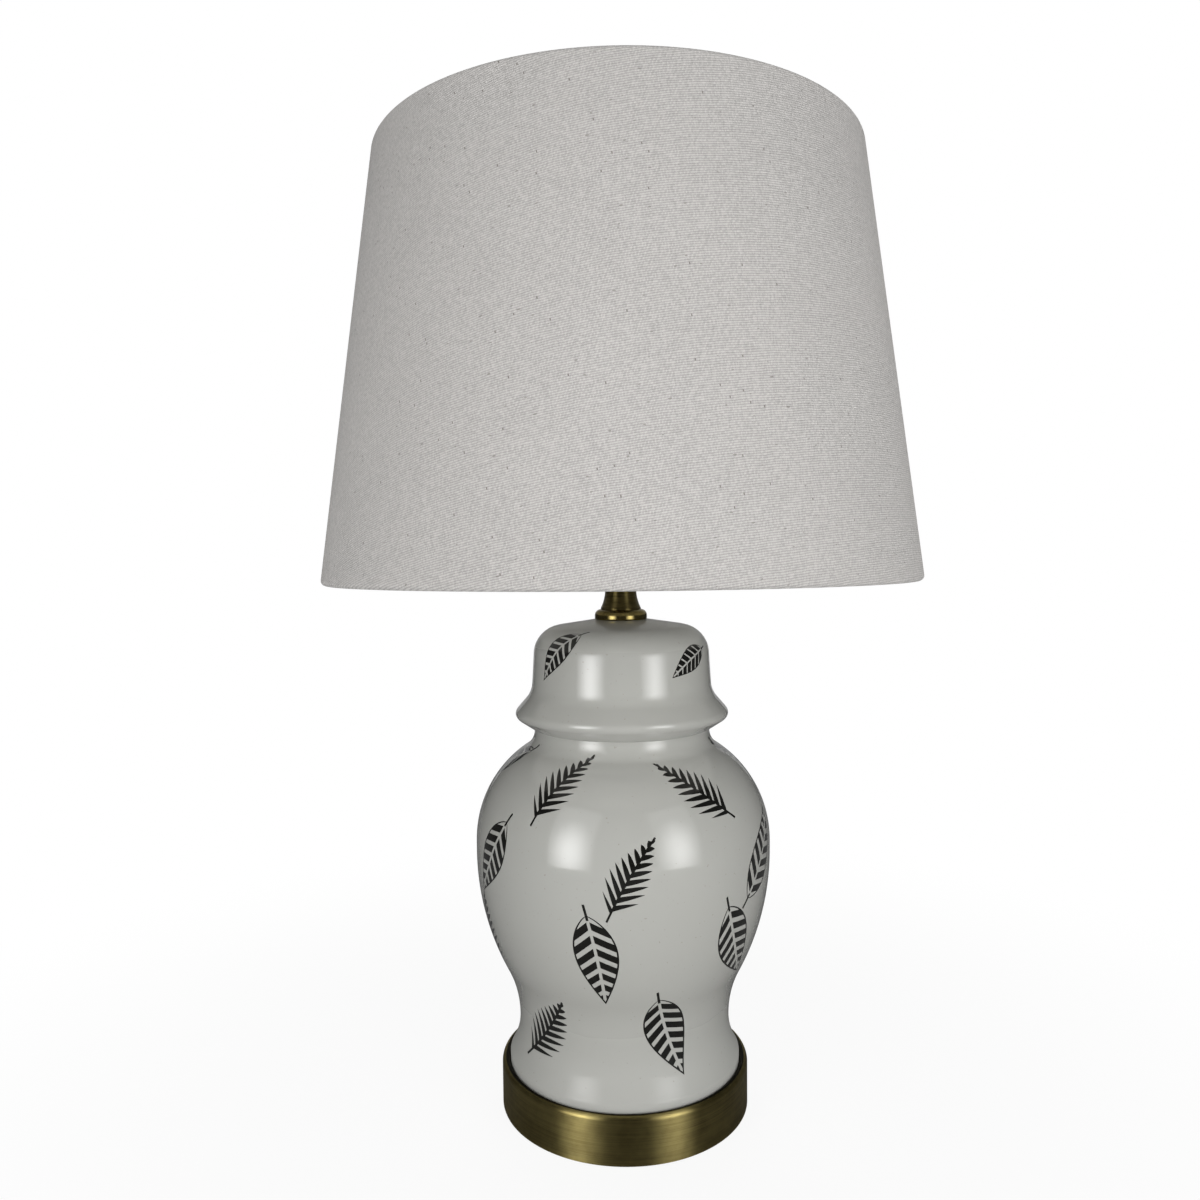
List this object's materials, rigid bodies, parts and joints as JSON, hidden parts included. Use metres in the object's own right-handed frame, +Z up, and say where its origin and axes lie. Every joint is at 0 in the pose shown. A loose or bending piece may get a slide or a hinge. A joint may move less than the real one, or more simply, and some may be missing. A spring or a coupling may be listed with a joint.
{
  "type": "table lamp",
  "caption": "Table lamp: a covered ceramic jar on a round brass plinth, with a linen drum shade that lifts off a wire harp, a turning socket switch and a screw-in bulb.",
  "frame": {"origin": "centre of the felt's underside, where the lamp stands on the table", "axes": "+Z up along the lamp's axis; -Y is the front, where the switch knob points; the harp stands in the XZ plane"},
  "size_m": [0.3558, 0.3558, 0.5852],
  "materials": {
    "glaze": "clear glaze over a printed pattern",
    "antique_brass": "brushed and darkened",
    "plated_brass": "satin plated",
    "zinc_steel": "zinc plated",
    "linen": "plain weave",
    "lining": "smooth sheet",
    "felt": "pressed wool",
    "fibreboard": "raw board",
    "gasket_rubber": "matt",
    "bushing_nylon": "moulded",
    "fibre_tube": "vulcanised fibre",
    "phenolic": "moulded",
    "socket_metal": "rolled",
    "bulb_white": "moulded",
    "bulb_opal": "opal"
  },
  "bodies": {
    "lamp": {"base_felt": "felt", "base_board": "fibreboard", "base_plinth": "antique_brass", "cord_bushing": "bushing_nylon", "base_washer": "zinc_steel", "base_nut": "zinc_steel", "lamp_pipe": "zinc_steel", "jar_gasket": "gasket_rubber", "jar_body": "glaze", "jar_lid": "glaze", "neck_bead": "antique_brass", "neck_spindle": "antique_brass", "neck_nut": "plated_brass", "harp_saddle": "plated_brass", "socket_cap": "plated_brass", "socket_shell": "plated_brass", "socket_insulator": "fibre_tube", "socket_core": "phenolic", "terminal_screws": "plated_brass", "screw_shell": "socket_metal", "centre_contact": "plated_brass", "switch_collar": "plated_brass"},
    "switch": {"switch_shaft": "plated_brass", "switch_knob": "phenolic"},
    "bulb": {"bulb_contact": "socket_metal", "bulb_insulator": "phenolic", "bulb_cap": "socket_metal", "bulb_housing": "bulb_white", "bulb_globe": "bulb_opal"},
    "harp": {"harp_wire": "plated_brass"},
    "ferrule_left": {"ferrule_left": "plated_brass"},
    "ferrule_right": {"ferrule_right": "plated_brass"},
    "stud": {"harp_stud": "plated_brass"},
    "shade": {"shade_spider": "plated_brass", "shade_bottom_ring": "plated_brass", "shade_lining": "lining", "shade_fabric": "linen"},
    "finial": {"finial": "antique_brass"}
  },
  "joints": [
    {"name": "switch_turn", "type": "hinge", "parent": "lamp", "child": "switch", "pos_m": [0, -0.03, 0.3604], "axis": [0, -1, 0], "continuous": true},
    {"name": "bulb_lift", "type": "slide", "parent": "lamp", "child": "bulb", "axis": [0, 0, 1], "range_m": [0, 0.03]},
    {"name": "harp_lift", "type": "slide", "parent": "lamp", "child": "harp", "axis": [0, 0, 1], "range_m": [0, 0.165]},
    {"name": "ferrule_left_slide", "type": "slide", "parent": "harp", "child": "ferrule_left", "axis": [0, 0, 1], "range_m": [0, 0.014]},
    {"name": "ferrule_right_slide", "type": "slide", "parent": "harp", "child": "ferrule_right", "axis": [0, 0, 1], "range_m": [0, 0.014]},
    {"name": "shade_swivel", "type": "hinge", "parent": "harp", "child": "stud", "pos_m": [0, 0, 0.555], "axis": [0, 0, 1], "continuous": true},
    {"name": "shade_lift", "type": "slide", "parent": "stud", "child": "shade", "axis": [0, 0, 1], "range_m": [0, 0.25]},
    {"name": "finial_lift", "type": "slide", "parent": "shade", "child": "finial", "axis": [0, 0, 1], "range_m": [0, 0.03]}
  ]
}
